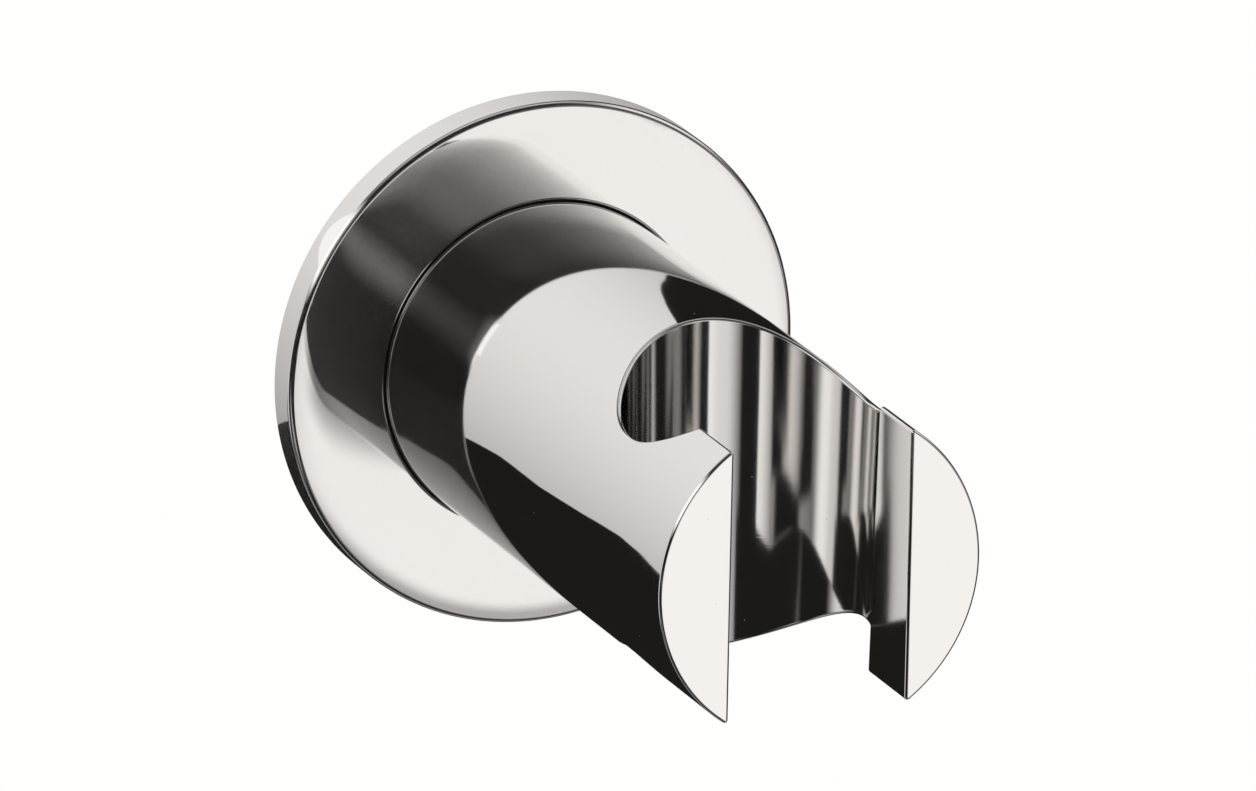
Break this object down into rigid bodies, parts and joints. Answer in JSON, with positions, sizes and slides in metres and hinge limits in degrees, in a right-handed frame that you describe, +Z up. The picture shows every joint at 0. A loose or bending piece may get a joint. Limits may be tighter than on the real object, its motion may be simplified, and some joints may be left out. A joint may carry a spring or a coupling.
{
  "type": "hand shower holder",
  "caption": "Fixed wall holder for a hand shower: a round chromed bar with a conical keyhole socket open to the front, standing in a round cover rosette.",
  "frame": {"origin": "point of the wall plane on the axis of the round bar", "axes": "the wall is the plane y = 0 and the holder reaches out of it towards -Y; +Z is up, and +Y points into the wall along the bar's axis; the socket's axis is upright"},
  "size_m": [0.052, 0.0691, 0.052],
  "materials": {
    "body_chrome": "polished",
    "rosette_chrome": "polished",
    "bracket_brass": "turned",
    "screw_steel": "plain stainless",
    "ring_rubber": "matt black"
  },
  "bodies": {
    "root": {"holder_body": "body_chrome", "wall_rosette": "rosette_chrome", "wall_bracket": "bracket_brass", "set_screw": "screw_steel", "rosette_o_ring": "ring_rubber"}
  },
  "joints": []
}
